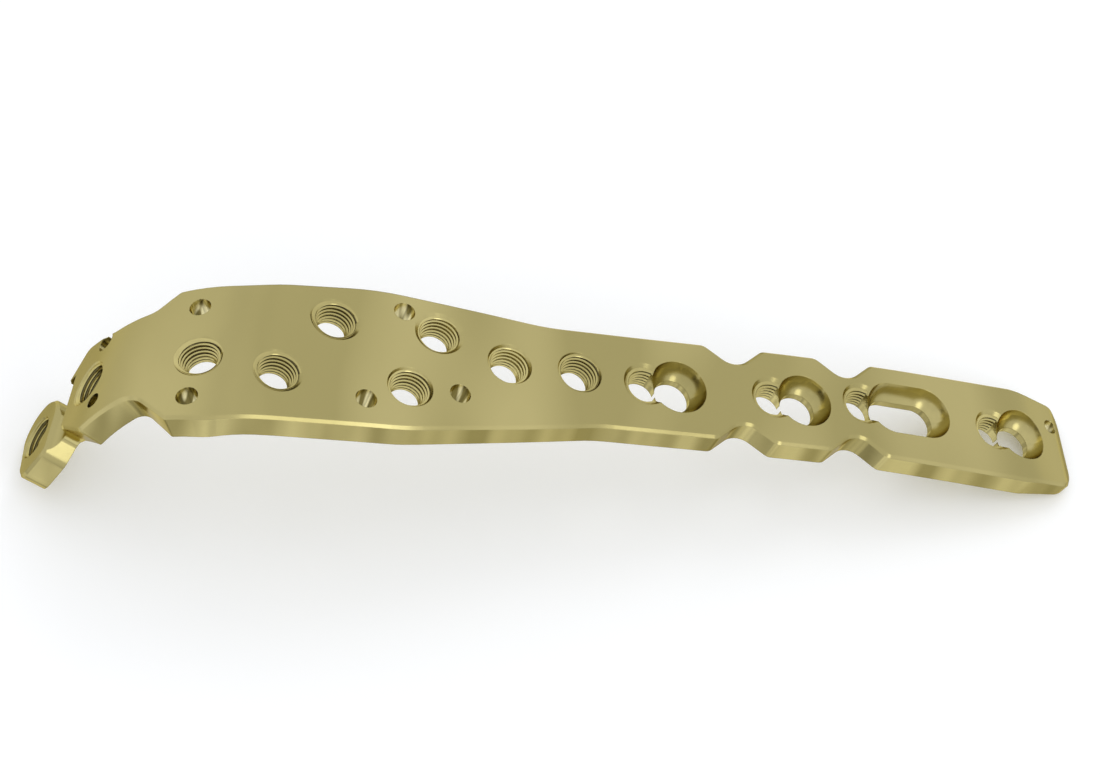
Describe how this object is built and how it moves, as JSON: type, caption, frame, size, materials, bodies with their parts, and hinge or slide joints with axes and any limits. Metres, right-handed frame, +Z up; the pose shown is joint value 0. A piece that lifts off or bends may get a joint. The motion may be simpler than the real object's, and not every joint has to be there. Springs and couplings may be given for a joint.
{
  "type": "orthopedic bone plate",
  "caption": "Contoured orthopedic bone plate with a wide head folded into a hook with a ring tab, threaded locking holes and combination holes along a notched shaft.",
  "frame": {"origin": "centre of the bounding box's bottom face, with the plate standing on its ring tab and shaft tip", "axes": "+X from the hook along the shaft to the tip, +Z up and out of the outer face, +Y to the back edge"},
  "size_m": [0.1086, 0.0172, 0.0221],
  "materials": {
    "titanium": "anodised titanium alloy, fine satin"
  },
  "bodies": {
    "root": {"bone_plate": "titanium"}
  },
  "joints": []
}
